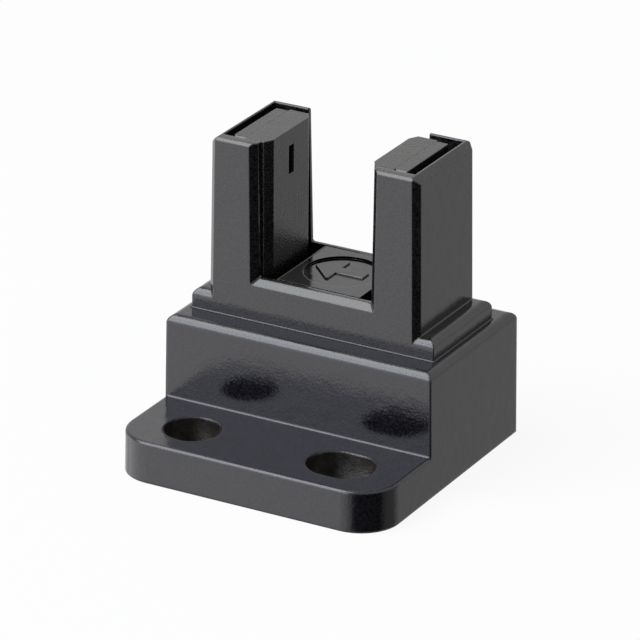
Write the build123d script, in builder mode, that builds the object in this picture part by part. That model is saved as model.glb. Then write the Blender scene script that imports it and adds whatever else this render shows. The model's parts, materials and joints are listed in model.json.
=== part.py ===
"""Slotted optical switch with a flanged base, in millimetres.

X runs across the slot, from the emitter tower to the detector tower.
Y runs from the mounting flange to the rear, where the header opens.
Z is up, with Z = 0 on the mounting face, and the origin is the middle of that face.
"""
import os
from math import radians, tan

from build123d import *

os.makedirs("parts", exist_ok=True)

# Base housing
body_width = 23.1
body_depth = 22.26
base_height = 10.05
flange_depth = 8.28
flange_thickness = 3.3
flange_corner_radius = 3.2
flange_edge_radius = 0.2
base_edge_radius = 0.65
base_wall = 1.2
base_top_wall = 1.2
side_draft = 1.0

# Mounting holes: one round, one slotted to take up pitch errors
hole_diameter = 4.4
hole_pitch = 12.8
hole_travel = 1.0
hole_from_front = 3.96
hole_shift = -0.15

# Slot case: a collar with two open towers
case_from_front = 10.51
case_side_wall = 0.93
case_front_wall = 0.88
case_rear_wall = 0.55
collar_width = 20.85
collar_depth = 9.4
collar_height = 1.63
collar_edge_radius = 0.68
tower_span = 18.2
tower_depth = 9.25
tower_side_draft = 0.9
tower_rear_draft = 0.5
tower_corner_chamfer = 0.48
tower_side_top_chamfer = 0.55
tower_front_top_chamfer = 0.2
tower_rear_top_chamfer = 0.2
slot_width = 9.7
slot_draft = 0.6
sill_height = 3.4
sill_corner_radius = 0.2
slot_chamfer = 0.48
rear_slot_width = 9.85
rear_slot_draft = 1.5
rear_slot_chamfer = 0.2
slot_cut_above_top = 1.0

# Snap legs that hold the case on the base
leg_width = 4.0
leg_thickness = 0.9
leg_inset = 0.4
hook_reach = 0.35
hook_height = 0.75
hook_lead_in = 0.25
snap_clearance = 0.05
leg_flex_room = 0.45

# Element holders and the caps that close their outer sides
beam_gap = 8.6
holder_width = 6.85
holder_depth = 2.05
holder_front_gap = 0.1
holder_face_wall = 0.6
holder_side_wall = 0.8
holder_top_wall = 0.8
holder_chamfer_x = 0.4
holder_chamfer_y = 0.75
spigot_wall = 0.35
spigot_length = 1.0
cap_depth = 1.05
cap_wall = 0.6
cap_chamfer = 0.25
cap_top_chamfer = 0.25
slit_width = 0.75
slit_height = 2.3
beam_height = 11.85
fit_clearance = 0.05

# Slot floor between the holders
floor_width = 7.2
floor_end_gap = 0.15
floor_wall = 0.9
floor_plate = 1.1
floor_recess_diameter = 6.0
floor_recess_depth = 0.18
floor_peg_diameter = 1.2
floor_peg_length = 1.0
floor_peg_spacing = 3.6
floor_boss_diameter = 2.2

# Optical elements
element_width = 4.4
element_height = 4.8
element_thickness = 1.2
element_draft = 4.0
element_back_gap = 0.05
element_top_gap = 0.1
lens_radius = 1.1
lens_reach = 0.5
lens_below_top = 1.55
lens_root = 0.3
lead_pitch = 2.54
lead_size = 0.45
lead_tail = 1.0

# Circuit board
board_thickness = 1.0
board_standoff = 1.8
board_edge_gap = 0.3
board_hole_clearance = 0.1
stand_diameter = 2.2
stand_inset = 1.5
post_diameter = 1.8
post_gap = 0.1

# Rear header
pin_count = 3
pin_pitch = 2.0
pin_size = 0.5
pin_tail = 0.8
pin_bend_run = 0.9
pin_tip_inset = 0.7
pin_tip_length = 0.5
pin_tip_taper = 12.0
header_width = 7.9
header_depth = 4.3
header_wall = 0.65
header_back_wall = 1.0
header_recess = 0.2
header_cover_gap = 0.4
header_key_width = 1.2

# Bottom cover
cover_thickness = 1.0
cover_recess = 0.1
cover_ledge = 0.5
cover_gap = 0.1

# Surface-mount parts
chip_length = 2.0
chip_width = 1.25
resistor_height = 0.5
capacitor_height = 0.9
chip_cap_length = 0.4
chip_body_drop = 0.05
part_row_from_wall = 2.0
part_spacing = 3.4
transistor_length = 2.9
transistor_width = 1.3
transistor_height = 1.0
transistor_standoff = 0.1
transistor_lead_width = 0.4
transistor_lead_thickness = 0.15
transistor_lead_reach = 0.55
transistor_foot = 0.3
transistor_lead_pitch = 1.9

# Positions that follow from the sizes above
front_y = -body_depth / 2
rear_y = body_depth / 2
block_front_y = front_y + flange_depth
block_depth = body_depth - flange_depth
block_centre_y = block_front_y + block_depth / 2
case_front_y = front_y + case_from_front
case_rear_y = case_front_y + tower_depth
well_front_y = case_front_y + case_front_wall
well_rear_y = case_rear_y - case_rear_wall
well_centre_y = (well_front_y + well_rear_y) / 2
case_height = beam_height + lens_below_top + element_top_gap + holder_top_wall
case_top_z = base_height + case_height
beam_z = base_height + beam_height
sill_z = base_height + sill_height
block_draft_shift = base_height * tan(radians(side_draft))

cavity_width = body_width - 2 * base_wall
cavity_depth = block_depth - 2 * base_wall
cavity_top_z = base_height - base_top_wall
board_top_z = cavity_top_z - board_standoff
board_under_z = board_top_z - board_thickness
board_width = cavity_width - 2 * board_edge_gap
board_depth = cavity_depth - 2 * board_edge_gap
stand_x = board_width / 2 - stand_inset
stand_y = board_depth / 2 - stand_inset
cover_top_z = cover_recess + cover_thickness

holder_face_x = beam_gap / 2
holder_joint_x = holder_face_x + holder_depth
cap_outer_x = holder_joint_x + cap_depth
cap_inner_x = cap_outer_x - cap_wall
holder_front_y = well_front_y + holder_front_gap
holder_rear_y = holder_front_y + holder_width
axis_y = holder_front_y + holder_width / 2
cavity_face_x = holder_face_x + holder_face_wall
cavity_front_y = holder_front_y + holder_side_wall
cavity_rear_y = holder_rear_y - holder_side_wall
spigot_face_x = cavity_face_x - spigot_wall
spigot_width = cavity_rear_y - cavity_front_y + 2 * spigot_wall

element_back_x = cap_inner_x - element_back_gap
element_face_x = element_back_x - element_thickness
element_top_z = beam_z + lens_below_top
element_under_z = element_top_z - element_height
lead_x = element_back_x - element_thickness / 2

leg_outer_x = collar_width / 2 - leg_inset - hook_reach
leg_inner_x = leg_outer_x - leg_thickness

header_under_z = cover_top_z + header_cover_gap
header_height = board_under_z - header_under_z
header_rear_y = rear_y - header_recess
header_front_y = header_rear_y - header_depth
pin_z = header_under_z + header_height / 2
pin_leg_y = header_front_y - pin_bend_run
pin_tip_y = header_rear_y - pin_tip_inset - pin_tip_length

part_row_y = block_front_y + base_wall + part_row_from_wall
transistor_x = part_spacing / 2


def save(piece, name):
    """Label a finished piece and write it as its own STEP file."""
    piece.label = name
    export_step(piece, f"parts/{name}.step")


def opening_outline(width, sill, draft):
    """Face of the slot opening: open at the top, drafted sides, round lower corners."""
    top = case_top_z + slot_cut_above_top
    flare = (top - sill) * tan(radians(draft))
    with BuildSketch(mode=Mode.PRIVATE) as outline:
        with BuildLine():
            Polyline(
                (-width / 2, sill),
                (width / 2, sill),
                (width / 2 + flare, top),
                (-width / 2 - flare, top),
                close=True,
            )
        make_face()
        fillet(outline.vertices().group_by(Axis.Y)[0], sill_corner_radius)
    return outline.sketch


# Base housing: flange, hollow block, header opening and board stands
with BuildPart() as base_housing:
    with BuildSketch() as flange_outline:
        with Locations((0, front_y)):
            Rectangle(body_width, flange_depth + base_wall, align=(Align.CENTER, Align.MIN))
        fillet(flange_outline.vertices().group_by(Axis.Y)[0], flange_corner_radius)
    extrude(amount=flange_thickness, taper=side_draft)
    top_edges = base_housing.edges().group_by(Axis.Z)[-1]
    fillet(top_edges.sort_by(Axis.Y)[:-1], flange_edge_radius)
    with BuildSketch(Plane.XZ.offset(-rear_y)):
        with BuildLine():
            Polyline(
                (-body_width / 2, 0),
                (body_width / 2, 0),
                (body_width / 2 - block_draft_shift, base_height),
                (-body_width / 2 + block_draft_shift, base_height),
                close=True,
            )
        make_face()
    extrude(amount=block_depth)
    fillet(base_housing.edges().group_by(Axis.Z)[-1], base_edge_radius)
    # Hollow of the block and the ledge that seats the bottom cover
    with BuildSketch():
        with Locations((0, block_centre_y)):
            Rectangle(cavity_width, cavity_depth)
    extrude(amount=cavity_top_z, mode=Mode.SUBTRACT)
    with BuildSketch():
        with Locations((0, block_centre_y)):
            Rectangle(cavity_width + 2 * cover_ledge, cavity_depth + 2 * cover_ledge)
    extrude(amount=cover_top_z, mode=Mode.SUBTRACT)
    # Stands that the circuit board bears on
    with BuildSketch(Plane.XY.offset(board_top_z)):
        with Locations((0, block_centre_y)):
            with GridLocations(2 * stand_x, 2 * stand_y, 2, 2):
                Circle(stand_diameter / 2)
    extrude(amount=board_standoff)
    # Openings in the top wall for the holders, the snap legs and the floor pegs
    with BuildSketch(Plane.XY.offset(cavity_top_z)):
        for side in (-1, 1):
            near_x = spigot_face_x - fit_clearance
            far_x = cap_inner_x - fit_clearance
            with Locations((side * (near_x + far_x) / 2, axis_y)):
                Rectangle(far_x - near_x, spigot_width + 2 * fit_clearance)
            near_x = leg_inner_x - leg_flex_room
            far_x = leg_outer_x + snap_clearance
            with Locations((side * (near_x + far_x) / 2, axis_y)):
                Rectangle(far_x - near_x, leg_width + 2 * snap_clearance)
        with Locations((0, well_centre_y)):
            with GridLocations(floor_peg_spacing, 0, 2, 1):
                Circle(floor_peg_diameter / 2 + fit_clearance)
    extrude(amount=base_top_wall, mode=Mode.SUBTRACT)
    # Mounting holes
    with BuildSketch():
        with Locations((hole_shift - hole_pitch / 2, front_y + hole_from_front)):
            Circle(hole_diameter / 2)
        with Locations((hole_shift + hole_pitch / 2, front_y + hole_from_front)):
            SlotCenterToCenter(hole_travel, hole_diameter)
    extrude(amount=flange_thickness, mode=Mode.SUBTRACT)
    # Rear opening for the header
    with BuildSketch(Plane.XZ.offset(-rear_y)):
        with Locations((0, header_under_z - fit_clearance)):
            Rectangle(
                header_width + 2 * fit_clearance,
                header_height + 2 * fit_clearance,
                align=(Align.CENTER, Align.MIN),
            )
    extrude(amount=base_wall, mode=Mode.SUBTRACT)
save(base_housing.part, "base_housing")


# Collar of the case, its upper edges rounded before the towers join it
with BuildPart() as case_collar:
    with BuildSketch(Plane.XY.offset(base_height)):
        with Locations((0, case_front_y)):
            Rectangle(collar_width, collar_depth, align=(Align.CENTER, Align.MIN))
    extrude(amount=collar_height)
    fillet(case_collar.edges().group_by(Axis.Z)[-1], collar_edge_radius)

# Slot case: towers lofted with draft, joined to the collar, opened and slotted
with BuildPart() as slot_case:
    side_shift = case_height * tan(radians(tower_side_draft))
    rear_shift = case_height * tan(radians(tower_rear_draft))
    tower_sections = (
        (base_height, tower_span, tower_depth),
        (case_top_z, tower_span - 2 * side_shift, tower_depth - rear_shift),
    )
    for section_z, section_width, section_depth in tower_sections:
        with BuildSketch(Plane.XY.offset(section_z)) as section:
            with Locations((0, case_front_y)):
                Rectangle(section_width, section_depth, align=(Align.CENTER, Align.MIN))
            chamfer(section.vertices(), tower_corner_chamfer)
    loft(ruled=True)
    top_edges = slot_case.edges().group_by(Axis.Z)[-1]
    chamfer(top_edges.filter_by(Axis.Y), tower_side_top_chamfer)
    top_edges = slot_case.edges().group_by(Axis.Z)[-1].filter_by(Axis.X).sort_by(Axis.Y)
    chamfer(top_edges[0], tower_front_top_chamfer)
    top_edges = slot_case.edges().group_by(Axis.Z)[-1].filter_by(Axis.X).sort_by(Axis.Y)
    chamfer(top_edges[-1], tower_rear_top_chamfer)
    add(case_collar.part)
    # Well that takes the holders and the slot floor
    with BuildSketch(Plane.XY.offset(base_height)):
        with Locations((0, well_centre_y)):
            Rectangle(tower_span - 2 * case_side_wall, well_rear_y - well_front_y)
    extrude(amount=case_height, mode=Mode.SUBTRACT)
    # Slot through each end wall, with a chamfer round its outer edge
    openings = (
        (case_front_y, 1, slot_width, slot_draft, slot_chamfer),
        (case_rear_y, -1, rear_slot_width, rear_slot_draft, rear_slot_chamfer),
    )
    for end_y, inward, width, draft, rim in openings:
        with BuildSketch(Plane.XZ.offset(-end_y)):
            add(opening_outline(width, sill_z, draft))
        extrude(amount=-inward * tower_depth / 2, mode=Mode.SUBTRACT)
        with BuildSketch(Plane.XZ.offset(-end_y)):
            add(opening_outline(width + 2 * rim, sill_z - rim, draft))
        with BuildSketch(Plane.XZ.offset(-end_y - inward * rim)):
            add(opening_outline(width, sill_z, draft))
        loft(ruled=True, mode=Mode.SUBTRACT)
    # Snap legs with outward hooks
    hook_top_z = cavity_top_z - snap_clearance
    leg_tip_z = hook_top_z - hook_height
    with BuildSketch(Plane.XZ.offset(-axis_y - leg_width / 2)):
        for side in (-1, 1):
            with BuildLine():
                Polyline(
                    (side * leg_inner_x, base_height),
                    (side * leg_outer_x, base_height),
                    (side * leg_outer_x, hook_top_z),
                    (side * (leg_outer_x + hook_reach), hook_top_z),
                    (side * (leg_outer_x - hook_lead_in), leg_tip_z),
                    (side * leg_inner_x, leg_tip_z),
                    close=True,
                )
            make_face()
    extrude(amount=leg_width)
save(slot_case.part, "slot_case")


def element_holder(side):
    """Open-backed shell with the slit that limits the beam."""
    with BuildPart() as holder:
        with BuildSketch(Plane.XY.offset(base_height)):
            with BuildLine():
                Polyline(
                    (side * holder_joint_x, holder_front_y),
                    (side * (holder_face_x + holder_chamfer_x), holder_front_y),
                    (side * holder_face_x, holder_front_y + holder_chamfer_y),
                    (side * holder_face_x, holder_rear_y - holder_chamfer_y),
                    (side * (holder_face_x + holder_chamfer_x), holder_rear_y),
                    (side * holder_joint_x, holder_rear_y),
                    close=True,
                )
            make_face()
        extrude(amount=case_height)
        # Spigot that plugs into the top wall of the base
        with BuildSketch(Plane.XY.offset(base_height - spigot_length)):
            with Locations((side * (spigot_face_x + holder_joint_x) / 2, axis_y)):
                Rectangle(holder_joint_x - spigot_face_x, spigot_width)
        extrude(amount=spigot_length)
        # Chamber, open outward and below
        with BuildSketch(Plane.XY.offset(base_height - spigot_length)):
            with Locations((side * (cavity_face_x + holder_joint_x) / 2, axis_y)):
                Rectangle(holder_joint_x - cavity_face_x, cavity_rear_y - cavity_front_y)
        extrude(amount=spigot_length + case_height - holder_top_wall, mode=Mode.SUBTRACT)
        with BuildSketch(Plane.YZ.offset(side * holder_face_x)):
            with Locations((axis_y, beam_z)):
                Rectangle(slit_width, slit_height)
        extrude(amount=side * holder_face_wall, mode=Mode.SUBTRACT)
    return holder.part


def holder_cap(side):
    """Tray that closes the outer side of a holder, open at its foot."""
    with BuildPart() as cap:
        with BuildSketch(Plane.XY.offset(base_height)) as outline:
            with Locations((side * (holder_joint_x + cap_outer_x) / 2, axis_y)):
                Rectangle(cap_depth, holder_width)
            outer_corners = outline.vertices().group_by(Axis.X)[-1 if side > 0 else 0]
            chamfer(outer_corners, cap_chamfer)
        extrude(amount=case_height)
        chamfer(cap.edges().group_by(Axis.Z)[-1].filter_by(Axis.X), cap_top_chamfer)
        with BuildSketch(Plane.XY.offset(base_height)):
            with Locations((side * (holder_joint_x + cap_inner_x) / 2, axis_y)):
                Rectangle(cap_depth - cap_wall, cavity_rear_y - cavity_front_y)
        extrude(amount=case_height - holder_top_wall, mode=Mode.SUBTRACT)
    return cap.part


def optical_element(side):
    """Side-looking epoxy package with a domed lens that faces the slit."""
    dome_radius = (lens_radius**2 + lens_reach**2) / (2 * lens_reach)
    with BuildPart() as element:
        with BuildSketch(Plane.YZ.offset(side * element_back_x)):
            with Locations((axis_y, element_under_z)):
                Rectangle(element_width, element_height, align=(Align.CENTER, Align.MIN))
        extrude(amount=-side * element_thickness, taper=element_draft)
        with BuildSketch(Plane.XZ.offset(-axis_y)):
            with BuildLine():
                RadiusArc(
                    (side * element_face_x, beam_z + lens_radius),
                    (side * (element_face_x - lens_reach), beam_z),
                    -side * dome_radius,
                )
                Polyline(
                    (side * (element_face_x - lens_reach), beam_z),
                    (side * (element_face_x + lens_root), beam_z),
                    (side * (element_face_x + lens_root), beam_z + lens_radius),
                    (side * element_face_x, beam_z + lens_radius),
                )
            make_face()
        revolve(axis=Axis((0, axis_y, beam_z), (1, 0, 0)))
    return element.part


def element_lead(side, offset):
    """Straight square lead from the package down through the board."""
    tip_z = board_under_z - lead_tail
    with BuildPart() as lead:
        with BuildSketch(Plane.XY.offset(tip_z)):
            with Locations((side * lead_x, axis_y + offset)):
                Rectangle(lead_size, lead_size)
        extrude(amount=element_under_z - tip_z)
    return lead.part


# Emitter on the left of the photograph, detector on the right
lead_names = {"emitter": ("anode", "cathode"), "detector": ("collector", "output")}
for side, element_name in ((-1, "emitter"), (1, "detector")):
    save(element_holder(side), f"{element_name}_holder")
    save(holder_cap(side), f"{element_name}_cap")
    save(optical_element(side), f"{element_name}_element")
    for lead_name, offset in zip(lead_names[element_name], (-lead_pitch / 2, lead_pitch / 2)):
        save(element_lead(side, offset), f"{element_name}_{lead_name}_lead")


# Slot floor: an upturned tray with a round recess and two pegs
with BuildPart() as slot_floor:
    floor_depth = well_rear_y - well_front_y - 2 * floor_end_gap
    with BuildSketch(Plane.XY.offset(base_height)):
        with Locations((0, well_centre_y)):
            Rectangle(floor_width, floor_depth)
    extrude(amount=sill_height)
    with BuildSketch(Plane.XY.offset(base_height)):
        with Locations((0, well_centre_y)):
            Rectangle(floor_width - 2 * floor_wall, floor_depth - 2 * floor_wall)
    extrude(amount=sill_height - floor_plate, mode=Mode.SUBTRACT)
    with BuildSketch(Plane.XY.offset(base_height)):
        with Locations((0, well_centre_y)):
            with GridLocations(floor_peg_spacing, 0, 2, 1):
                Circle(floor_boss_diameter / 2)
    extrude(amount=sill_height - floor_plate)
    with BuildSketch(Plane.XY.offset(base_height - floor_peg_length)):
        with Locations((0, well_centre_y)):
            with GridLocations(floor_peg_spacing, 0, 2, 1):
                Circle(floor_peg_diameter / 2)
    extrude(amount=floor_peg_length)
    with BuildSketch(Plane.XY.offset(sill_z)):
        with Locations((0, well_centre_y)):
            Circle(floor_recess_diameter / 2)
    extrude(amount=-floor_recess_depth, mode=Mode.SUBTRACT)
save(slot_floor.part, "slot_floor")


# Circuit board with a hole for each lead and pin
with BuildPart() as circuit_board:
    with BuildSketch(Plane.XY.offset(board_under_z)):
        with Locations((0, block_centre_y)):
            Rectangle(board_width, board_depth)
        with Locations((0, axis_y)):
            with GridLocations(2 * lead_x, lead_pitch, 2, 2):
                Circle(lead_size * 2**0.5 / 2 + board_hole_clearance, mode=Mode.SUBTRACT)
        with Locations((0, pin_leg_y)):
            with GridLocations(pin_pitch, 0, pin_count, 1):
                Circle(pin_size * 2**0.5 / 2 + board_hole_clearance, mode=Mode.SUBTRACT)
    extrude(amount=board_thickness)
save(circuit_board.part, "circuit_board")


# Header shroud under the rear edge of the board, open to the rear
with BuildPart() as header_shroud:
    with BuildSketch(Plane.XZ.offset(-header_front_y)):
        with Locations((0, header_under_z)):
            Rectangle(header_width, header_height, align=(Align.CENTER, Align.MIN))
    extrude(amount=-header_depth)
    with BuildSketch(Plane.XZ.offset(-header_front_y - header_back_wall)):
        with Locations((0, pin_z)):
            Rectangle(header_width - 2 * header_wall, header_height - 2 * header_wall)
    extrude(amount=-(header_depth - header_back_wall), mode=Mode.SUBTRACT)
    # Key slot in the lower wall and the holes that the pins pass through
    with BuildSketch(Plane.XZ.offset(-header_front_y - header_back_wall)):
        with Locations((0, header_under_z)):
            Rectangle(header_key_width, header_wall, align=(Align.CENTER, Align.MIN))
    extrude(amount=-(header_depth - header_back_wall), mode=Mode.SUBTRACT)
    with BuildSketch(Plane.XZ.offset(-header_front_y)):
        with Locations((0, pin_z)):
            with GridLocations(pin_pitch, 0, pin_count, 1):
                Rectangle(pin_size + 2 * fit_clearance, pin_size + 2 * fit_clearance)
    extrude(amount=-header_back_wall, mode=Mode.SUBTRACT)
save(header_shroud.part, "header_shroud")

# Right-angle pins: along the shroud, then up through the board
for number in range(pin_count):
    pin_x = (number - (pin_count - 1) / 2) * pin_pitch
    with BuildPart() as header_pin:
        with BuildSketch(Plane.YZ.offset(pin_x - pin_size / 2)) as pin_outline:
            with BuildLine():
                Polyline(
                    (pin_tip_y, pin_z - pin_size / 2),
                    (pin_tip_y, pin_z + pin_size / 2),
                    (pin_leg_y + pin_size / 2, pin_z + pin_size / 2),
                    (pin_leg_y + pin_size / 2, board_top_z + pin_tail),
                    (pin_leg_y - pin_size / 2, board_top_z + pin_tail),
                    (pin_leg_y - pin_size / 2, pin_z - pin_size / 2),
                    close=True,
                )
            make_face()
            bend = pin_outline.vertices().group_by(Axis.Y)[0].sort_by(Axis.X)[0]
            fillet(bend, pin_size)
        extrude(amount=pin_size)
        # Tapered tip that leads the plug on
        with BuildSketch(Plane.XZ.offset(-pin_tip_y)):
            with Locations((pin_x, pin_z)):
                Rectangle(pin_size, pin_size)
        extrude(amount=-pin_tip_length, taper=pin_tip_taper)
    save(header_pin.part, f"header_pin_{number + 1}")


# Bottom cover with posts that hold the board against its stands
with BuildPart() as bottom_cover:
    cover_width = cavity_width + 2 * (cover_ledge - cover_gap)
    cover_depth = cavity_depth + 2 * (cover_ledge - cover_gap)
    with BuildSketch(Plane.XY.offset(cover_recess)):
        with Locations((0, block_centre_y)):
            Rectangle(cover_width, cover_depth)
    extrude(amount=cover_thickness)
    with BuildSketch(Plane.XY.offset(cover_top_z)):
        with Locations((0, block_centre_y)):
            with GridLocations(2 * stand_x, 2 * stand_y, 2, 2):
                Circle(post_diameter / 2)
    extrude(amount=board_under_z - post_gap - cover_top_z)
save(bottom_cover.part, "bottom_cover")


def chip_part(x, height):
    """Surface-mount chip with end caps a little proud of its body."""
    with BuildPart() as chip:
        with BuildSketch(Plane.XY.offset(board_top_z)):
            with Locations((x, part_row_y)):
                Rectangle(chip_length, chip_width)
        extrude(amount=height)
        with BuildSketch(Plane.XY.offset(board_top_z + height)):
            with Locations((x, part_row_y)):
                Rectangle(chip_length - 2 * chip_cap_length, chip_width)
        extrude(amount=-chip_body_drop, mode=Mode.SUBTRACT)
    return chip.part


save(chip_part(-1.5 * part_spacing, resistor_height), "emitter_resistor")
save(chip_part(-0.5 * part_spacing, capacitor_height), "supply_capacitor")
save(chip_part(1.5 * part_spacing, resistor_height), "output_resistor")


# Output transistor in the same row, and its three gull-wing leads
with BuildPart() as transistor:
    with BuildSketch(Plane.XY.offset(board_top_z + transistor_standoff)):
        with Locations((transistor_x, part_row_y)):
            Rectangle(transistor_length, transistor_width)
    extrude(amount=transistor_height)
save(transistor.part, "output_transistor")

transistor_leads = (
    ("base", -transistor_lead_pitch / 2, -1),
    ("emitter", transistor_lead_pitch / 2, -1),
    ("collector", 0, 1),
)
for lead_name, lead_offset, facing in transistor_leads:
    body_y = part_row_y + facing * transistor_width / 2
    knee_y = body_y + facing * (transistor_lead_reach - transistor_foot)
    toe_y = body_y + facing * transistor_lead_reach
    exit_z = board_top_z + transistor_standoff + transistor_height / 2
    with BuildPart() as transistor_lead:
        with BuildSketch(Plane.YZ.offset(transistor_x + lead_offset - transistor_lead_width / 2)):
            with BuildLine():
                Polyline(
                    (body_y, exit_z),
                    (knee_y, exit_z),
                    (knee_y, board_top_z + transistor_lead_thickness),
                    (toe_y, board_top_z + transistor_lead_thickness),
                    (toe_y, board_top_z),
                    (knee_y - facing * transistor_lead_thickness, board_top_z),
                    (knee_y - facing * transistor_lead_thickness, exit_z - transistor_lead_thickness),
                    (body_y, exit_z - transistor_lead_thickness),
                    close=True,
                )
            make_face()
        extrude(amount=transistor_lead_width)
    save(transistor_lead.part, f"transistor_{lead_name}_lead")
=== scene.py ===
"""Finishes, fine detail and studio for a slotted optical switch."""
import json
import math

import bpy
from mathutils import Matrix, Vector


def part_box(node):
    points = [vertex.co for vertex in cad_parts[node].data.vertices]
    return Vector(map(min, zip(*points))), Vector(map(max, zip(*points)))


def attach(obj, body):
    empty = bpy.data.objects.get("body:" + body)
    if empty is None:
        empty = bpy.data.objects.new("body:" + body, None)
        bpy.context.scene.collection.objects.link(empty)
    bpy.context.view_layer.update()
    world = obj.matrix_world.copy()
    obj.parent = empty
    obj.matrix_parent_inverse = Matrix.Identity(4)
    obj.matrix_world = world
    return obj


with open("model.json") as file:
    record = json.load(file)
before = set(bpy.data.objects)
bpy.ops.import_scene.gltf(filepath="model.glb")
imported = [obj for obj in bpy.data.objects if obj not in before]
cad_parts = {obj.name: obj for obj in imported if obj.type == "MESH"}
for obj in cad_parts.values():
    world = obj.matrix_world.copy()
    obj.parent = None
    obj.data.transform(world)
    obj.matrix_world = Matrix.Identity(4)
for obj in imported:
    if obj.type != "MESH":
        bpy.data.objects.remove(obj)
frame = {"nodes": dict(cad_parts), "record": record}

bl_info = {
    "name": "Slotted Optical Switch",
    "version": (1, 0, 0),
    "blender": (4, 5, 0),
    "location": "View3D > Sidebar > Optical Switch",
    "description": "Moulded finishes, fine detail and a studio for a slotted optical switch",
    "category": "Object",
}

MM = 0.001
BODY = "root"

# Places of the two value inputs and the output in the Mix node, by its data type
MIX_SOCKETS = {"RGBA": (6, 7, 2), "FLOAT": (2, 3, 0)}
GRAIN_BUMP = "grain_bump"
EDGE_SAMPLES = 8

# Ranges that a value is spread from: a noise value, a mask, and a place along a card
NOISE_RANGE = (0.3, 0.7)
WHOLE_RANGE = (0.0, 1.0)
CARD_RANGE = (-0.5, 0.5)

# Shares of its colour between which a surface varies
CLOUD_SHARES = (0.86, 1.14)
BLOT_SHARES = (0.1, 3.4)
METAL_SHARES = (0.85, 1.0)

# How far the roughness goes up and down over a surface
PLASTIC_SWING = 0.05
METAL_SWING = 0.06

CLOUD_SIZE = 2.2 * MM
DRAWING_MARK_SIZE = 0.3 * MM
PLAIN_FLECK = 0.1

# Shares of the shared edge radius, grain size and grain depth that single mouldings have
CASE_EDGE_SHARE = 1.5
BASE_EDGE_SHARE = 2.4
FLOOR_EDGE_SHARE = 0.5
ARROW_EDGE_SHARE = 0.3
FLOOR_DEPTH_SHARE = 0.2
HOLDER_GRAIN_SHARE = 0.8
HOLDER_DEPTH_SHARE = 2.6

FLOOR_ROUGHNESS = 0.12
# Black painted on the low wall of the round recess as painted shade, and the roughness that goes with it
RECESS_WALL_PAINTED_SHADE_COLOUR = (0.002, 0.002, 0.002)
RECESS_WALL_ROUGHNESS = 0.9

# How far the painted shade on the wall reaches up and down from its middle, as a share of the recess
# depth
RECESS_WALL_SHARE = 0.45

# How far outside a hole's radius a place still counts as its wall
HOLE_WALL_MARGIN = 0.02 * MM

# Colour, roughness, grain size, grain depth and edge radius
SMALL_PIECE_PLASTICS = {
    "emitter_epoxy": ((0.30, 0.34, 0.42), 0.1, 0.5 * MM, 0.0005 * MM, 0.05 * MM),
    "detector_epoxy": ((0.02, 0.012, 0.015), 0.1, 0.5 * MM, 0.0005 * MM, 0.05 * MM),
    "board_laminate": ((0.02, 0.12, 0.04), 0.35, 0.4 * MM, 0.002 * MM, 0.02 * MM),
    "header_nylon": ((0.62, 0.59, 0.50), 0.38, 0.3 * MM, 0.002 * MM, 0.06 * MM),
    "chip_ceramic": ((0.22, 0.15, 0.09), 0.45, 0.1 * MM, 0.002 * MM, 0.03 * MM),
    "transistor_epoxy": ((0.012, 0.012, 0.012), 0.4, 0.1 * MM, 0.003 * MM, 0.03 * MM),
}

# Colour and roughness
METALS = {
    "tinned_lead": ((0.75, 0.75, 0.73), 0.28),
    "gold_contact": ((0.83, 0.62, 0.28), 0.22),
}

# Rows of the grid that the arrow starts from, of which the middle one becomes the shaft
ARROW_ROWS = 3

# How far the arrow's underside lies below the floor of the recess
ARROW_SINK = 0.02 * MM

# How near to a line a corner of the arrow has to lie to be picked with it
PICK_MARGIN = 0.1 * MM

# Upright foot and sloping crown as shares of a lip's height, and the slope as one of its width
LIP_FOOT_SHARE = 0.1
LIP_CROWN_SHARE = 0.9
LIP_SLOPE_SHARE = 0.35

# Width of the bead's ring and rounding of its outer edge, as shares of the bead's size
BEAD_WIDTH_SHARE = 1.2
BEAD_ROUNDING_SHARE = 0.9

SENSOR_WIDTH = 36.0
NEAREST_SEEN = 0.01
FARTHEST_SEEN = 10.0

# Height of the point that the lamp faces
TARGET_HEIGHT = 12.0 * MM

# How far the stage floor lies below the underside of the switch
FLOOR_DROP = 0.02 * MM
FLOOR_WHITE_SHARE = 0.92
PAPER_ROUGHNESS = 0.9
WORLD_LIGHT_LEVEL = 0.25
CARD_FOOT_LEVEL = 0.52
CARD_TOP_LEVEL = 1.27

# A fade that ends at the card's edge, so the whole card is at its full tone
NO_FADE = (-0.6, -0.5)

# Name, azimuth in degrees, distance, width, foot, top, tone, and where the fade is dark and full
CARDS = (
    ("front_left_card", 228.0, 0.7, 2.15, -0.80, 0.0, (2.06, 2.03, 2.10), (0.5, 0.04)),
    ("low_window_card", 241.0, 0.7, 0.60, 0.02, 0.40, (6.9, 7.1, 8.2), NO_FADE),
    ("right_card", 72.0, 0.7, 0.88, -0.80, 0.05, (0.66, 0.64, 0.65), NO_FADE),
    ("right_corner_card", 16.0, 0.65, 0.66, -0.80, 0.10, (0.38, 0.36, 0.34), (-0.5, -0.1)),
    ("camera_card", -41.0, 0.6, 0.81, -0.80, 0.15, (0.02, 0.02, 0.02), NO_FADE),
)


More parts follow.
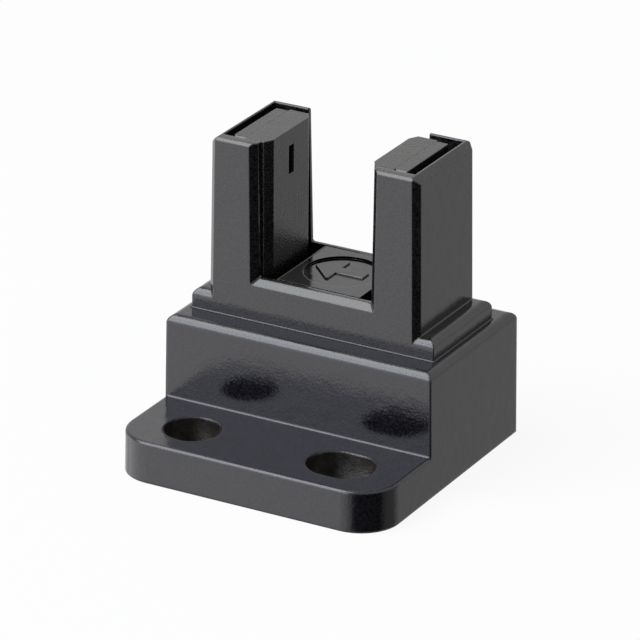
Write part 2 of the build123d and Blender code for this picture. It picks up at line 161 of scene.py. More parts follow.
class SwitchFinish(bpy.types.PropertyGroup):
    """Colours, roughness and surface grain of the dark mouldings."""

    housing_colour: bpy.props.FloatVectorProperty(
        name="Housing colour",
        description="Charcoal of the case and cover mouldings",
        subtype="COLOR",
        size=3,
        min=0.0,
        max=1.0,
        default=(0.0140, 0.0137, 0.0152),
    )
    floor_colour: bpy.props.FloatVectorProperty(
        name="Slot floor colour",
        description="Deeper charcoal of the slot floor and its raised marks",
        subtype="COLOR",
        size=3,
        min=0.0,
        max=1.0,
        default=(0.0075, 0.0072, 0.0088),
    )
    # The base's charcoal holds painted shade: it is darker and bluer than the case's, standing in for the
    # bluish shaded floor that the base reflects
    base_colour_with_painted_blue_shade: bpy.props.FloatVectorProperty(
        name="Base colour",
        description="Slightly bluer charcoal of the base",
        subtype="COLOR",
        size=3,
        min=0.0,
        max=1.0,
        default=(0.0120, 0.0120, 0.0165),
    )
    holder_colour: bpy.props.FloatVectorProperty(
        name="Holder colour",
        description="Slightly warmer charcoal of the element holders",
        subtype="COLOR",
        size=3,
        min=0.0,
        max=1.0,
        default=(0.0160, 0.0145, 0.0132),
    )
    housing_roughness: bpy.props.FloatProperty(
        name="Housing roughness",
        description="Roughness of the case, cover and base",
        subtype="FACTOR",
        min=0.0,
        max=1.0,
        default=0.12,
    )
    holder_roughness: bpy.props.FloatProperty(
        name="Holder roughness",
        description="Roughness of the element holders",
        subtype="FACTOR",
        min=0.0,
        max=1.0,
        default=0.26,
    )
    grain_size: bpy.props.FloatProperty(
        name="Grain size",
        description="Width of one bump of the spark-eroded mould grain",
        unit="LENGTH",
        default=0.20 * MM,
    )
    grain_depth: bpy.props.FloatProperty(
        name="Grain depth",
        description="Height of the mould grain",
        unit="LENGTH",
        default=0.012 * MM,
    )
    edge_radius: bpy.props.FloatProperty(
        name="Edge radius",
        description="Rounding that light shows on the moulded edges",
        unit="LENGTH",
        default=0.12 * MM,
    )
    fleck: bpy.props.FloatProperty(
        name="Fleck",
        description="How much paler or darker single grains of the case and cover are",
        subtype="FACTOR",
        min=0.0,
        max=1.0,
        default=0.75,
    )
    base_fleck: bpy.props.FloatProperty(
        name="Base fleck",
        description="How much paler or darker single grains of the base are",
        subtype="FACTOR",
        min=0.0,
        max=1.0,
        default=0.45,
    )
    holder_fleck: bpy.props.FloatProperty(
        name="Holder fleck",
        description="How much paler or darker single grains of the holders are",
        subtype="FACTOR",
        min=0.0,
        max=1.0,
        default=0.8,
    )
    ripple_size: bpy.props.FloatProperty(
        name="Ripple size",
        description="Width of the shallow waves that shrinkage leaves in the mouldings",
        unit="LENGTH",
        default=1.2 * MM,
    )
    ripple_depth: bpy.props.FloatProperty(
        name="Ripple depth",
        description="Height of the shallow waves",
        unit="LENGTH",
        default=0.015 * MM,
    )
    hole_wall_colour: bpy.props.FloatVectorProperty(
        name="Hole wall colour",
        description="Duller and browner charcoal inside the mounting holes",
        subtype="COLOR",
        size=3,
        min=0.0,
        max=1.0,
        default=(0.0105, 0.0090, 0.0080),
    )
    hole_wall_roughness: bpy.props.FloatProperty(
        name="Hole wall roughness",
        description="Roughness inside the mounting holes",
        subtype="FACTOR",
        min=0.0,
        max=1.0,
        default=0.3,
    )
    hole_wall_grain: bpy.props.FloatProperty(
        name="Hole wall grain",
        description="How much deeper the grain is inside the mounting holes",
        default=4.0,
    )
    hole_wall_blot_size: bpy.props.FloatProperty(
        name="Hole wall blot size",
        description="Width of the paler and darker blots inside the mounting holes",
        unit="LENGTH",
        default=0.6 * MM,
    )


class SwitchDetail(bpy.types.PropertyGroup):
    """Sizes of the fine pieces added to the mouldings."""

    arrow_length: bpy.props.FloatProperty(
        name="Arrow length",
        description="Tip to tail of the raised arrow in the floor recess",
        unit="LENGTH",
        default=4.35 * MM,
    )
    arrow_head_length: bpy.props.FloatProperty(
        name="Arrow head length",
        description="Length of the arrow head",
        unit="LENGTH",
        default=2.05 * MM,
    )
    arrow_head_width: bpy.props.FloatProperty(
        name="Arrow head width",
        description="Width across the arrow head",
        unit="LENGTH",
        default=4.1 * MM,
    )
    arrow_shaft_width: bpy.props.FloatProperty(
        name="Arrow shaft width",
        description="Width of the arrow shaft",
        unit="LENGTH",
        default=1.02 * MM,
    )
    arrow_height: bpy.props.FloatProperty(
        name="Arrow height",
        description="How far the arrow stands above the recess floor",
        unit="LENGTH",
        default=0.14 * MM,
    )
    arrow_slope: bpy.props.FloatProperty(
        name="Arrow slope",
        description="Height and width of the slope round the top of the arrow",
        unit="LENGTH",
        default=0.045 * MM,
    )
    floor_recess_depth: bpy.props.FloatProperty(
        name="Floor recess depth",
        description="Depth of the round recess in the slot floor",
        unit="LENGTH",
        default=0.18 * MM,
    )
    arrow_offset: bpy.props.FloatVectorProperty(
        name="Arrow offset",
        description="How far the arrow lies from the middle of the recess",
        subtype="TRANSLATION",
        unit="LENGTH",
        size=3,
        default=(-0.30 * MM, 0.24 * MM, 0.0),
    )
    arrow_corner: bpy.props.FloatProperty(
        name="Arrow corner",
        description="How much is cut off the corners of the arrow head",
        unit="LENGTH",
        default=0.33 * MM,
    )
    lip_width: bpy.props.FloatProperty(
        name="Lip width",
        description="Width of the fine raised lip along both sides of the slot floor",
        unit="LENGTH",
        default=0.16 * MM,
    )
    lip_height: bpy.props.FloatProperty(
        name="Lip height",
        description="Height of the fine raised lip",
        unit="LENGTH",
        default=0.03 * MM,
    )
    foot_bead: bpy.props.FloatProperty(
        name="Foot bead",
        description="Size of the bead of flash where the case meets the base",
        unit="LENGTH",
        default=0.11 * MM,
    )


class SwitchStudio(bpy.types.PropertyGroup):
    """Camera and floor."""

    camera_position: bpy.props.FloatVectorProperty(
        name="Camera position",
        description="Where the camera stands",
        subtype="TRANSLATION",
        unit="LENGTH",
        size=3,
        default=(177.03 * MM, -318.84 * MM, 168.63 * MM),
    )
    camera_azimuth: bpy.props.FloatProperty(
        name="Camera azimuth",
        description="Turn of the view to the right of the front",
        subtype="ANGLE",
        default=math.radians(28.987),
    )
    camera_elevation: bpy.props.FloatProperty(
        name="Camera elevation",
        description="How steeply the camera looks down",
        subtype="ANGLE",
        default=math.radians(23.375),
    )
    camera_roll: bpy.props.FloatProperty(
        name="Camera roll",
        description="Turn of the camera about its own line of sight",
        subtype="ANGLE",
        default=math.radians(0.43),
    )
    camera_lens: bpy.props.FloatProperty(
        name="Camera lens",
        description="Focal length in millimetres on a 36 mm sensor",
        default=296.41,
    )
    floor_size: bpy.props.FloatProperty(
        name="Floor size",
        description="Side of the square floor",
        unit="LENGTH",
        default=3.0,
    )
    floor_colour: bpy.props.FloatVectorProperty(
        name="Floor colour",
        description="Pale colour of the floor",
        subtype="COLOR",
        size=3,
        min=0.0,
        max=1.0,
        default=(0.84, 0.84, 0.84),
    )


def settings(name):
    """One of the three groups of values on the scene."""
    return getattr(bpy.context.scene, name)


def new_material(name):
    """New node material, with its nodes, links and shader."""
    material = bpy.data.materials.new(name)
    material.use_nodes = True
    nodes = material.node_tree.nodes
    links = material.node_tree.links
    return material, nodes, links, nodes["Principled BSDF"]


def object_noise(nodes, links, size, detail, roughness=0.5):
    """Noise on object coordinates with bumps of the given width in metres."""
    place = nodes.new("ShaderNodeTexCoord")
    noise = nodes.new("ShaderNodeTexNoise")
    noise.inputs["Scale"].default_value = 1.0 / size
    noise.inputs["Detail"].default_value = detail
    noise.inputs["Roughness"].default_value = roughness
    links.new(place.outputs["Object"], noise.inputs["Vector"])
    return noise.outputs["Fac"]


def mapped(nodes, links, source, low, high, source_range=NOISE_RANGE, curve="LINEAR"):
    """Spread a value from its own range over another, from low to high."""
    remap = nodes.new("ShaderNodeMapRange")
    remap.interpolation_type = curve
    remap.inputs["From Min"].default_value = source_range[0]
    remap.inputs["From Max"].default_value = source_range[1]
    remap.inputs["To Min"].default_value = low
    remap.inputs["To Max"].default_value = high
    links.new(source, remap.inputs["Value"])
    return remap.outputs["Result"]


def shaded(nodes, links, source, colour, shares):
    """Colour that varies with a value between two shares of itself."""
    shade = nodes.new("ShaderNodeMix")
    shade.data_type = "RGBA"
    low_input, high_input, result = MIX_SOCKETS["RGBA"]
    shade.inputs[low_input].default_value = (*[shares[0] * part for part in colour], 1.0)
    shade.inputs[high_input].default_value = (*[shares[1] * part for part in colour], 1.0)
    links.new(source, shade.inputs["Factor"])
    return shade.outputs[result]


def pair_step(nodes, links, operation, first, second):
    """One math operation on two linked values."""
    step = nodes.new("ShaderNodeMath")
    step.operation = operation
    links.new(first, step.inputs[0])
    links.new(second, step.inputs[1])
    return step.outputs[0]


def vector_step(nodes, links, operation, source, value):
    """One vector operation with a fixed second value."""
    step = nodes.new("ShaderNodeVectorMath")
    step.operation = operation
    step.inputs[1].default_value = value
    links.new(source, step.inputs[0])
    return step.outputs["Vector"]


def bump_over(nodes, links, height, depth, normal):
    """Bump of the given depth on top of another normal."""
    bump = nodes.new("ShaderNodeBump")
    bump.inputs["Distance"].default_value = depth
    links.new(height, bump.inputs["Height"])
    links.new(normal, bump.inputs["Normal"])
    return bump


def moulded_plastic(name, colour, roughness, grain_size, grain_depth, edge_radius, fleck=PLAIN_FLECK):
    """Moulded plastic with mould grain, flecks, faint clouding, shallow waves and softened edges."""
    material, nodes, links, shader = new_material(name)
    clouds = object_noise(nodes, links, CLOUD_SIZE, detail=3.0)
    tint = shaded(nodes, links, clouds, colour, CLOUD_SHARES)
    specks = object_noise(nodes, links, grain_size, detail=1.0)
    flecked = nodes.new("ShaderNodeVectorMath")
    flecked.operation = "SCALE"
    links.new(tint, flecked.inputs[0])
    paler = mapped(nodes, links, specks, 1.0 - fleck, 1.0 + fleck)
    links.new(paler, flecked.inputs["Scale"])
    links.new(flecked.outputs["Vector"], shader.inputs["Base Color"])
    grain = object_noise(nodes, links, grain_size, detail=2.0, roughness=0.6)
    gloss = mapped(nodes, links, grain, roughness - PLASTIC_SWING, roughness + PLASTIC_SWING)
    links.new(gloss, shader.inputs["Roughness"])
    edges = nodes.new("ShaderNodeBevel")
    edges.samples = EDGE_SAMPLES
    edges.inputs["Radius"].default_value = edge_radius
    finish = settings("switch_finish")
    ripple = object_noise(nodes, links, finish.ripple_size, detail=1.0)
    waves = bump_over(nodes, links, ripple, finish.ripple_depth, edges.outputs["Normal"])
    bump = bump_over(nodes, links, grain, grain_depth, waves.outputs["Normal"])
    bump.name = GRAIN_BUMP
    links.new(bump.outputs["Normal"], shader.inputs["Normal"])
    return material


def small_piece_plastic(name):
    """Moulded plastic of one kind of small piece."""
    return moulded_plastic(name, *SMALL_PIECE_PLASTICS[name])


def slot_floor_plastic(name, edge_share):
    """Plastic of the slot floor or its raised marks, with less grain than the housings."""
    finish = settings("switch_finish")
    return moulded_plastic(
        name,
        finish.floor_colour,
        FLOOR_ROUGHNESS,
        finish.grain_size,
        FLOOR_DEPTH_SHARE * finish.grain_depth,
        edge_share * finish.edge_radius,
    )


def hole_mask(nodes, links, place, centre, radius, travel):
    """1 on the wall of a mounting hole, 0 on the faces round it."""
    flat = vector_step(nodes, links, "MULTIPLY", place, (1.0, 1.0, 0.0))
    shifted = vector_step(nodes, links, "SUBTRACT", flat, (centre[0], centre[1], 0.0))
    folded = vector_step(nodes, links, "ABSOLUTE", shifted, (0.0, 0.0, 0.0))
    past_travel = vector_step(nodes, links, "SUBTRACT", folded, (travel / 2, 0.0, 0.0))
    outside = vector_step(nodes, links, "MAXIMUM", past_travel, (0.0, 0.0, 0.0))
    reach = nodes.new("ShaderNodeVectorMath")
    reach.operation = "LENGTH"
    links.new(outside, reach.inputs[0])
    inside = nodes.new("ShaderNodeMath")
    inside.operation = "LESS_THAN"
    inside.inputs[1].default_value = radius + HOLE_WALL_MARGIN
    links.new(reach.outputs["Value"], inside.inputs[0])
    return inside.outputs[0]


def blend_in(nodes, links, mask, socket, second):
    """Bring a second value into a linked socket where the mask is 1, and return its input."""
    first = socket.links[0].from_socket
    blend = nodes.new("ShaderNodeMix")
    blend.data_type = "RGBA" if socket.type == "RGBA" else "FLOAT"
    first_input, second_input, result = MIX_SOCKETS[blend.data_type]
    blend.inputs[second_input].default_value = second
    links.new(mask, blend.inputs["Factor"])
    links.new(first, blend.inputs[first_input])
    links.new(blend.outputs[result], socket)
    return blend.inputs[second_input]


def deepen_grain(nodes, links, mask, factor):
    """Multiply the height of the grain where the mask is 1."""
    height_input = nodes[GRAIN_BUMP].inputs["Height"]
    height = height_input.links[0].from_socket
    gain = mapped(nodes, links, mask, 1.0, factor, WHOLE_RANGE)
    links.new(pair_step(nodes, links, "MULTIPLY", height, gain), height_input)


def dull_hole_walls(material):
    """Make the walls of both mounting holes duller and more blotched than the faces of the base."""
    finish = settings("switch_finish")
    nodes = material.node_tree.nodes
    links = material.node_tree.links
    shader = nodes["Principled BSDF"]
    mounts = {mount["name"]: mount for mount in frame["record"]["mounts"]}
    round_hole = mounts["round_hole"]
    slotted_hole = mounts["slotted_hole"]
    place = nodes.new("ShaderNodeTexCoord").outputs["Object"]
    radius = round_hole["dims"]["r_mm"] * MM
    round_mask = hole_mask(nodes, links, place, round_hole["pos_m"], radius, 0.0)
    radius = slotted_hole["dims"]["hole_r_mm"] * MM
    travel = slotted_hole["dims"]["slot_length_mm"] * MM - 2 * radius
    slotted_mask = hole_mask(nodes, links, place, slotted_hole["pos_m"], radius, travel)
    mask = pair_step(nodes, links, "MAXIMUM", round_mask, slotted_mask)
    plain_wall = (*finish.hole_wall_colour, 1.0)
    wall_input = blend_in(nodes, links, mask, shader.inputs["Base Color"], plain_wall)
    blots = object_noise(nodes, links, finish.hole_wall_blot_size, detail=4.0, roughness=0.7)
    spread = mapped(nodes, links, blots, 0.0, 1.0)
    links.new(shaded(nodes, links, spread, finish.hole_wall_colour, BLOT_SHARES), wall_input)
    blend_in(nodes, links, mask, shader.inputs["Roughness"], finish.hole_wall_roughness)
    deepen_grain(nodes, links, mask, finish.hole_wall_grain)


def paint_shade_on_recess_wall(material, top_z, depth):
    """Paint shade onto the low wall of the round recess: black, rough and metal, so that it reflects
    almost nothing.
    """
    nodes = material.node_tree.nodes
    links = material.node_tree.links
    shader = nodes["Principled BSDF"]
    place = nodes.new("ShaderNodeTexCoord")
    parts = nodes.new("ShaderNodeSeparateXYZ")
    links.new(place.outputs["Object"], parts.inputs[0])
    painted_shade_band = nodes.new("ShaderNodeMath")
    painted_shade_band.operation = "COMPARE"
    painted_shade_band.inputs[1].default_value = top_z - depth / 2
    painted_shade_band.inputs[2].default_value = RECESS_WALL_SHARE * depth
    links.new(parts.outputs["Z"], painted_shade_band.inputs[0])
    mask = painted_shade_band.outputs[0]
    # Painted shade: the wall of the recess turns black and rough
    blend_in(nodes, links, mask, shader.inputs["Base Color"], (*RECESS_WALL_PAINTED_SHADE_COLOUR, 1.0))
    blend_in(nodes, links, mask, shader.inputs["Roughness"], RECESS_WALL_ROUGHNESS)
    # As a black metal the wall reflects almost nothing, which deepens the painted shade
    links.new(mask, shader.inputs["Metallic"])


def plated_metal(name):
    """Plated metal with faint drawing marks."""
    colour, roughness = METALS[name]
    material, nodes, links, shader = new_material(name)
    shader.inputs["Metallic"].default_value = 1.0
    marks = object_noise(nodes, links, DRAWING_MARK_SIZE, detail=4.0)
    links.new(shaded(nodes, links, marks, colour, METAL_SHARES), shader.inputs["Base Color"])
    gloss = mapped(nodes, links, marks, roughness - METAL_SWING, roughness + METAL_SWING)
    links.new(gloss, shader.inputs["Roughness"])
    return material


def dress(material, *nodes):
    """Give CAD nodes their finish."""
    for node in nodes:
        mesh = frame["nodes"][node].data
        mesh.materials.clear()
        mesh.materials.append(material)


def deselect_all():
    """Leave edit mode and clear the selection."""
    if bpy.context.object and bpy.context.object.mode != "OBJECT":
        bpy.ops.object.mode_set(mode="OBJECT")
    bpy.ops.object.select_all(action="DESELECT")


def size_piece(name, size):
    """Name the new primitive and settle it at its size."""
    piece = bpy.context.object
    piece.name = name
    piece.scale = size
    bpy.ops.object.transform_apply(location=True, rotation=True, scale=True)
    return piece


def extrude_up(height):
    """Raise what is selected in edit mode, with walls under it."""
    bpy.ops.mesh.extrude_region_move(TRANSFORM_OT_translate={"value": (0.0, 0.0, height)})


def finish_piece(piece, material):
    """Turn the faces of a new piece outwards and settle it, dressed and riding on the switch."""
    bpy.ops.mesh.select_all(action="SELECT")
    bpy.ops.mesh.normals_make_consistent(inside=False)
    bpy.ops.object.mode_set(mode="OBJECT")
    bpy.ops.object.transform_apply(location=True, rotation=True, scale=True)
    piece.data.materials.clear()
    piece.data.materials.append(material)
    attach(piece, BODY)


def pick_vertices(piece, test):
    """Select the vertices of the piece in edit mode that pass the test."""
    bpy.ops.object.mode_set(mode="OBJECT")
    for face in piece.data.polygons:
        face.select = False
    for edge in piece.data.edges:
        edge.select = False
    for vertex in piece.data.vertices:
        vertex.select = test(piece.matrix_world @ vertex.co)
    bpy.ops.object.mode_set(mode="EDIT")
    bpy.ops.mesh.select_mode(type="VERT")


class OPTICAL_SWITCH_OT_finish_housings(bpy.types.Operator):
    """Finish the base, case, slot floor and bottom cover"""

    bl_idname = "optical_switch.finish_housings"
    bl_label = "Finish Housings"

    def execute(self, context):
        finish = settings("switch_finish")
        housing = moulded_plastic(
            "housing_plastic",
            finish.housing_colour,
            finish.housing_roughness,
            finish.grain_size,
            finish.grain_depth,
            CASE_EDGE_SHARE * finish.edge_radius,
            finish.fleck,
        )
        dress(housing, "slot_case", "bottom_cover")
        # The base's darker, bluer colour is painted shade from the reflected floor
        base = moulded_plastic(
            "base_plastic",
            finish.base_colour_with_painted_blue_shade,
            finish.housing_roughness,
            finish.grain_size,
            finish.grain_depth,
            BASE_EDGE_SHARE * finish.edge_radius,
            finish.base_fleck,
        )
        dull_hole_walls(base)
        dress(base, "base_housing")
        floor = slot_floor_plastic("floor_plastic", FLOOR_EDGE_SHARE)
        # The wall of the floor's round recess gets painted shade
        recess_depth = settings("switch_detail").floor_recess_depth
        paint_shade_on_recess_wall(floor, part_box("slot_floor")[1].z, recess_depth)
        dress(floor, "slot_floor")
        return {"FINISHED"}


class OPTICAL_SWITCH_OT_finish_optics(bpy.types.Operator):
    """Finish the holders, caps, optical elements and all leads"""

    bl_idname = "optical_switch.finish_optics"
    bl_label = "Finish Optics"

    def execute(self, context):
        finish = settings("switch_finish")
        holder = moulded_plastic(
            "holder_plastic",
            finish.holder_colour,
            finish.holder_roughness,
            HOLDER_GRAIN_SHARE * finish.grain_size,
            HOLDER_DEPTH_SHARE * finish.grain_depth,
            finish.edge_radius,
            finish.holder_fleck,
        )
        dress(holder, "emitter_holder", "emitter_cap", "detector_holder", "detector_cap")
        dress(small_piece_plastic("emitter_epoxy"), "emitter_element")
        dress(small_piece_plastic("detector_epoxy"), "detector_element")
        leads = [node for node in frame["nodes"] if node.endswith("_lead")]
        dress(plated_metal("tinned_lead"), *leads)
        return {"FINISHED"}


class OPTICAL_SWITCH_OT_finish_board(bpy.types.Operator):
    """Finish the circuit board, its parts and the rear header"""

    bl_idname = "optical_switch.finish_board"
    bl_label = "Finish Board and Header"

    def execute(self, context):
        dress(small_piece_plastic("board_laminate"), "circuit_board")
        dress(small_piece_plastic("header_nylon"), "header_shroud")
        chips = ("emitter_resistor", "supply_capacitor", "output_resistor")
        dress(small_piece_plastic("chip_ceramic"), *chips)
        dress(small_piece_plastic("transistor_epoxy"), "output_transistor")
        pins = [node for node in frame["nodes"] if node.startswith("header_pin")]
        dress(plated_metal("gold_contact"), *pins)
        return {"FINISHED"}


class OPTICAL_SWITCH_OT_add_floor_arrow(bpy.types.Operator):
    """Raise the plain arrow in the round recess of the slot floor"""

    bl_idname = "optical_switch.add_floor_arrow"
    bl_label = "Add Floor Arrow"

    def execute(self, context):
        detail = settings("switch_detail")
        low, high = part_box("slot_floor")
        middle = (low + high) / 2 + detail.arrow_offset
        base_z = high.z - detail.floor_recess_depth - ARROW_SINK
        tip_x = middle.x - detail.arrow_length / 2
        tail_x = middle.x + detail.arrow_length / 2
        neck_x = tip_x + detail.arrow_head_length
        deselect_all()
        bpy.ops.mesh.primitive_grid_add(
            x_subdivisions=2,
            y_subdivisions=ARROW_ROWS,
            size=1.0,
            location=(middle.x, middle.y, base_z),
        )
        arrow = size_piece("floor_arrow", (detail.arrow_length, detail.arrow_head_width, 1.0))
        pick_vertices(arrow, lambda at: abs(at.x - middle.x) < PICK_MARGIN)
        bpy.ops.transform.translate(value=(neck_x - middle.x, 0.0, 0.0))
        # The two inner lines of the grid's rows lie inside this, and the sides of the head outside it
        inner = detail.arrow_head_width / 4
        pick_vertices(arrow, lambda at: abs(at.y - middle.y) < inner and at.x > tip_x + PICK_MARGIN)
        bpy.ops.transform.resize(
            value=(1.0, ARROW_ROWS * detail.arrow_shaft_width / detail.arrow_head_width, 1.0),
            center_override=middle,
        )
        pick_vertices(arrow, lambda at: abs(at.y - middle.y) > inner and at.x > tail_x - PICK_MARGIN)
        bpy.ops.mesh.delete(type="VERT")
        pick_vertices(arrow, lambda at: at.x < tip_x + PICK_MARGIN)
        bpy.ops.mesh.merge(type="CENTER")
        pick_vertices(arrow, lambda at: abs(at.y - middle.y) > inner)
        bpy.ops.mesh.bevel(offset=detail.arrow_corner, segments=1, affect="VERTICES")
        bpy.ops.mesh.select_all(action="SELECT")
        extrude_up(detail.arrow_height - detail.arrow_slope + ARROW_SINK)
        bpy.ops.mesh.inset(thickness=detail.arrow_slope, depth=detail.arrow_slope, use_boundary=True)
        finish_piece(arrow, slot_floor_plastic("arrow_plastic", ARROW_EDGE_SHARE))
        return {"FINISHED"}


class OPTICAL_SWITCH_OT_add_floor_lips(bpy.types.Operator):
    """Run a fine raised lip along both sides of the slot floor"""

    bl_idname = "optical_switch.add_floor_lips"
    bl_label = "Add Floor Lips"

    def execute(self, context):
        detail = settings("switch_detail")
        width = detail.lip_width
        height = detail.lip_height
        low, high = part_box("slot_floor")
        middle = (low + high) / 2
        for side, name in ((-1, "floor_lip_left"), (1, "floor_lip_right")):
            edge_x = high.x if side > 0 else low.x
            deselect_all()
            bpy.ops.mesh.primitive_plane_add(
                size=1.0,
                location=(edge_x - side * width / 2, middle.y, high.z),
            )
            lip = size_piece(name, (width, high.y - low.y, 1.0))
            bpy.ops.object.mode_set(mode="EDIT")
            bpy.ops.mesh.select_all(action="SELECT")
            extrude_up(LIP_FOOT_SHARE * height)
            bpy.ops.mesh.inset(thickness=LIP_SLOPE_SHARE * width, depth=LIP_CROWN_SHARE * height)
            finish_piece(lip, bpy.data.materials["arrow_plastic"])
        return {"FINISHED"}


class OPTICAL_SWITCH_OT_add_foot_bead(bpy.types.Operator):
    """Run a fine bead of flash round the foot of the case, where it seats on the base"""

    bl_idname = "optical_switch.add_foot_bead"
    bl_label = "Add Foot Bead"

    def execute(self, context):
        size = settings("switch_detail").foot_bead
        case_low, case_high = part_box("slot_case")
        seat_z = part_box("base_housing")[1].z
        middle = (case_low + case_high) / 2
        length_x = case_high.x - case_low.x + 2 * size
        length_y = case_high.y - case_low.y + 2 * size
        deselect_all()
        bpy.ops.mesh.primitive_plane_add(size=1.0, location=(middle.x, middle.y, seat_z))
        bead = size_piece("foot_bead", (length_x, length_y, 1.0))
        bpy.ops.object.mode_set(mode="EDIT")
        bpy.ops.mesh.select_all(action="SELECT")
        bpy.ops.mesh.inset(thickness=BEAD_WIDTH_SHARE * size)
        bpy.ops.mesh.delete(type="FACE")
        bpy.ops.mesh.select_all(action="SELECT")
        extrude_up(size)
        reach_x = case_high.x - middle.x + size / 2
        reach_y = case_high.y - middle.y + size / 2

        def on_outer_top(at):
            outside = abs(at.x - middle.x) > reach_x or abs(at.y - middle.y) > reach_y
            return outside and at.z > seat_z + size / 2

        pick_vertices(bead, on_outer_top)
        bpy.ops.mesh.bevel(offset=BEAD_ROUNDING_SHARE * size, segments=3, affect="EDGES")
        finish_piece(bead, bpy.data.materials["housing_plastic"])
        return {"FINISHED"}


def soft_lamp(name, azimuth, elevation, distance, width, height, radiance, tint, target):
    """Rectangular soft lamp at a compass place about the target, facing it."""
    turn = math.radians(azimuth)
    rise = math.radians(elevation)
    away = Vector((math.cos(turn) * math.cos(rise), math.sin(turn) * math.cos(rise), math.sin(rise)))
    data = bpy.data.lights.new(name, "AREA")
    data.shape = "RECTANGLE"
    data.size = width
    data.size_y = height
    data.energy = radiance * width * height * math.pi
    data.color = tint
    lamp = bpy.data.objects.new(name, data)
    bpy.context.scene.collection.objects.link(lamp)
    lamp.location = target + distance * away
    lamp.rotation_euler = away.to_track_quat("Z", "Y").to_euler()


def reflected_card(target, name, azimuth, distance, width, low, high, tone, fade):
    """Upright card about the target, brighter towards its top, that only reflections see.

    Across its width, from -0.5 to 0.5, it fades in from the first value of fade to the second.
    """
    turn = math.radians(azimuth)
    deselect_all()
    bpy.ops.mesh.primitive_plane_add(size=1.0)
    card = bpy.context.object
    card.name = name
    card.scale = (width, high - low, 1.0)
    card.rotation_euler = (math.pi / 2, 0.0, turn + math.pi / 2)
    card.location = (
        target.x + distance * math.cos(turn),
        target.y + distance * math.sin(turn),
        (low + high) / 2,
    )
    material, nodes, links = new_material(name)[:3]
    place = nodes.new("ShaderNodeTexCoord")
    parts = nodes.new("ShaderNodeSeparateXYZ")
    links.new(place.outputs["Object"], parts.inputs[0])
    rise = mapped(nodes, links, parts.outputs["Y"], CARD_FOOT_LEVEL, CARD_TOP_LEVEL, CARD_RANGE)
    share = mapped(nodes, links, parts.outputs["X"], 0.0, 1.0, fade, "SMOOTHSTEP")
    glow = nodes.new("ShaderNodeEmission")
    glow.inputs["Color"].default_value = (*tone, 1.0)
    links.new(pair_step(nodes, links, "MULTIPLY", rise, share), glow.inputs["Strength"])
    links.new(glow.outputs[0], nodes["Material Output"].inputs["Surface"])
    material.cycles.emission_sampling = "NONE"
    card.data.materials.append(material)
    card.visible_camera = False
    card.visible_diffuse = False
    card.visible_shadow = False
    card.visible_transmission = False


def background_rays(nodes, links):
    """1 for rays that show the background: from the camera, a reflection or glass."""
    path = nodes.new("ShaderNodeLightPath").outputs
    seen = pair_step(nodes, links, "MAXIMUM", path["Is Camera Ray"], path["Is Glossy Ray"])
    return pair_step(nodes, links, "MAXIMUM", seen, path["Is Transmission Ray"])


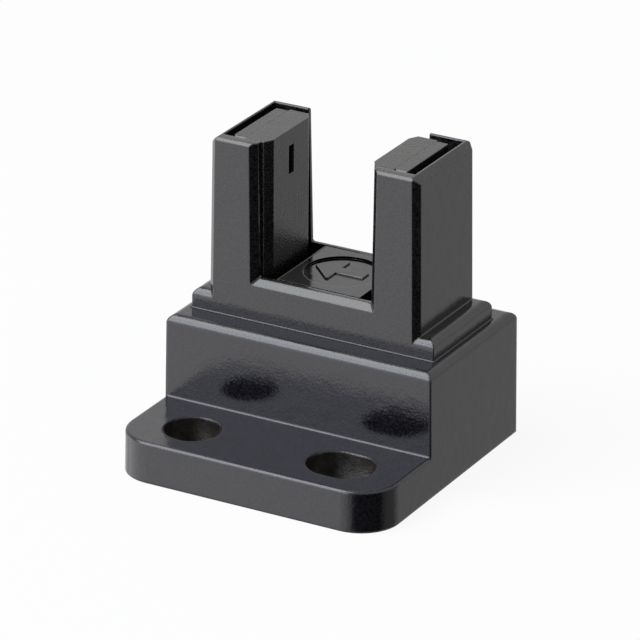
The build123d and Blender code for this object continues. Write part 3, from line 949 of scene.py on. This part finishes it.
class OPTICAL_SWITCH_OT_set_stage(bpy.types.Operator):
    """Set the camera, floor, background, lamp and reflected cards"""

    bl_idname = "optical_switch.set_stage"
    bl_label = "Set Stage"

    def execute(self, context):
        studio = settings("switch_studio")
        target = Vector((0.0, 0.0, TARGET_HEIGHT))
        self.set_camera(studio)
        self.set_floor(studio)
        self.set_world()
        soft_lamp(
            "overhead_lamp",
            azimuth=222.0,
            elevation=53.0,
            distance=0.6,
            width=0.45,
            height=0.45,
            radiance=6.2,
            tint=(0.95, 0.97, 1.0),
            target=target,
        )
        for card in CARDS:
            reflected_card(target, *card)
        bpy.context.scene.view_settings.view_transform = "Standard"
        return {"FINISHED"}

    def set_camera(self, studio):
        """Camera at the photograph's viewing angle."""
        turn = studio.camera_azimuth
        rise = studio.camera_elevation
        roll = studio.camera_roll
        back = Vector((math.sin(turn) * math.cos(rise), -math.cos(turn) * math.cos(rise), math.sin(rise)))
        right = Vector((math.cos(turn), math.sin(turn), 0.0))
        up = back.cross(right)
        rolled_right = math.cos(roll) * right + math.sin(roll) * up
        rolled_up = math.cos(roll) * up - math.sin(roll) * right
        data = bpy.data.cameras.new("camera")
        data.sensor_width = SENSOR_WIDTH
        data.lens = studio.camera_lens
        data.clip_start = NEAREST_SEEN
        data.clip_end = FARTHEST_SEEN
        camera = bpy.data.objects.new("camera", data)
        bpy.context.scene.collection.objects.link(camera)
        axes = Matrix((rolled_right, rolled_up, back)).transposed().to_4x4()
        camera.matrix_world = Matrix.Translation(studio.camera_position) @ axes
        bpy.context.scene.camera = camera

    def set_floor(self, studio):
        """Pale floor that shows white and keeps the shadow of the switch."""
        deselect_all()
        bpy.ops.mesh.primitive_plane_add(size=studio.floor_size, location=(0.0, 0.0, -FLOOR_DROP))
        floor = bpy.context.object
        floor.name = "floor"
        material, nodes, links, shader = new_material("floor_paper")
        shader.inputs["Base Color"].default_value = (*studio.floor_colour, 1.0)
        shader.inputs["Roughness"].default_value = PAPER_ROUGHNESS
        shader.inputs["Specular IOR Level"].default_value = 0.0
        white = nodes.new("ShaderNodeEmission")
        white.inputs["Strength"].default_value = 1.0
        shows = nodes.new("ShaderNodeMixShader")
        share = nodes.new("ShaderNodeMath")
        share.operation = "MULTIPLY"
        share.inputs[1].default_value = FLOOR_WHITE_SHARE
        links.new(background_rays(nodes, links), share.inputs[0])
        links.new(share.outputs[0], shows.inputs["Fac"])
        links.new(shader.outputs[0], shows.inputs[1])
        links.new(white.outputs[0], shows.inputs[2])
        links.new(shows.outputs[0], nodes["Material Output"].inputs["Surface"])
        floor.data.materials.append(material)
        floor.visible_glossy = False
        floor.visible_diffuse = False

    def set_world(self):
        """White background with a lower level of light from all round."""
        world = bpy.data.worlds.new("studio")
        bpy.context.scene.world = world
        world.use_nodes = True
        nodes = world.node_tree.nodes
        links = world.node_tree.links
        rays = background_rays(nodes, links)
        level = mapped(nodes, links, rays, WORLD_LIGHT_LEVEL, 1.0, WHOLE_RANGE)
        links.new(level, nodes["Background"].inputs["Strength"])
        nodes["Background"].inputs["Color"].default_value = (1.0, 1.0, 1.0, 1.0)


class VIEW3D_PT_optical_switch(bpy.types.Panel):
    """Lists the steps and their values"""

    bl_label = "Optical Switch"
    bl_idname = "VIEW3D_PT_optical_switch"
    bl_space_type = "VIEW_3D"
    bl_region_type = "UI"
    bl_category = "Optical Switch"

    def draw(self, context):
        column = self.layout.column()
        for step in STEPS:
            column.operator(step.bl_idname)
        for group in GROUPS:
            values = getattr(context.scene, group)
            for value in values.__annotations__:
                column.prop(values, value)


STEPS = (
    OPTICAL_SWITCH_OT_finish_housings,
    OPTICAL_SWITCH_OT_finish_optics,
    OPTICAL_SWITCH_OT_finish_board,
    OPTICAL_SWITCH_OT_add_floor_arrow,
    OPTICAL_SWITCH_OT_add_floor_lips,
    OPTICAL_SWITCH_OT_add_foot_bead,
    OPTICAL_SWITCH_OT_set_stage,
)

GROUPS = {
    "switch_finish": SwitchFinish,
    "switch_detail": SwitchDetail,
    "switch_studio": SwitchStudio,
}


def register():
    """Register the value groups, steps and panel."""
    for group, kind in GROUPS.items():
        bpy.utils.register_class(kind)
        setattr(bpy.types.Scene, group, bpy.props.PointerProperty(type=kind))
    for step in STEPS:
        bpy.utils.register_class(step)
    bpy.utils.register_class(VIEW3D_PT_optical_switch)


def unregister():
    """Undo register, last first."""
    bpy.utils.unregister_class(VIEW3D_PT_optical_switch)
    for step in reversed(STEPS):
        bpy.utils.unregister_class(step)
    for group, kind in reversed(list(GROUPS.items())):
        delattr(bpy.types.Scene, group)
        bpy.utils.unregister_class(kind)


def main():
    """Run every step in order."""
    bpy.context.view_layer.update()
    register()
    for step in STEPS:
        group, name = step.bl_idname.split(".")
        getattr(getattr(bpy.ops, group), name)()


if __name__ == "__main__":
    main()
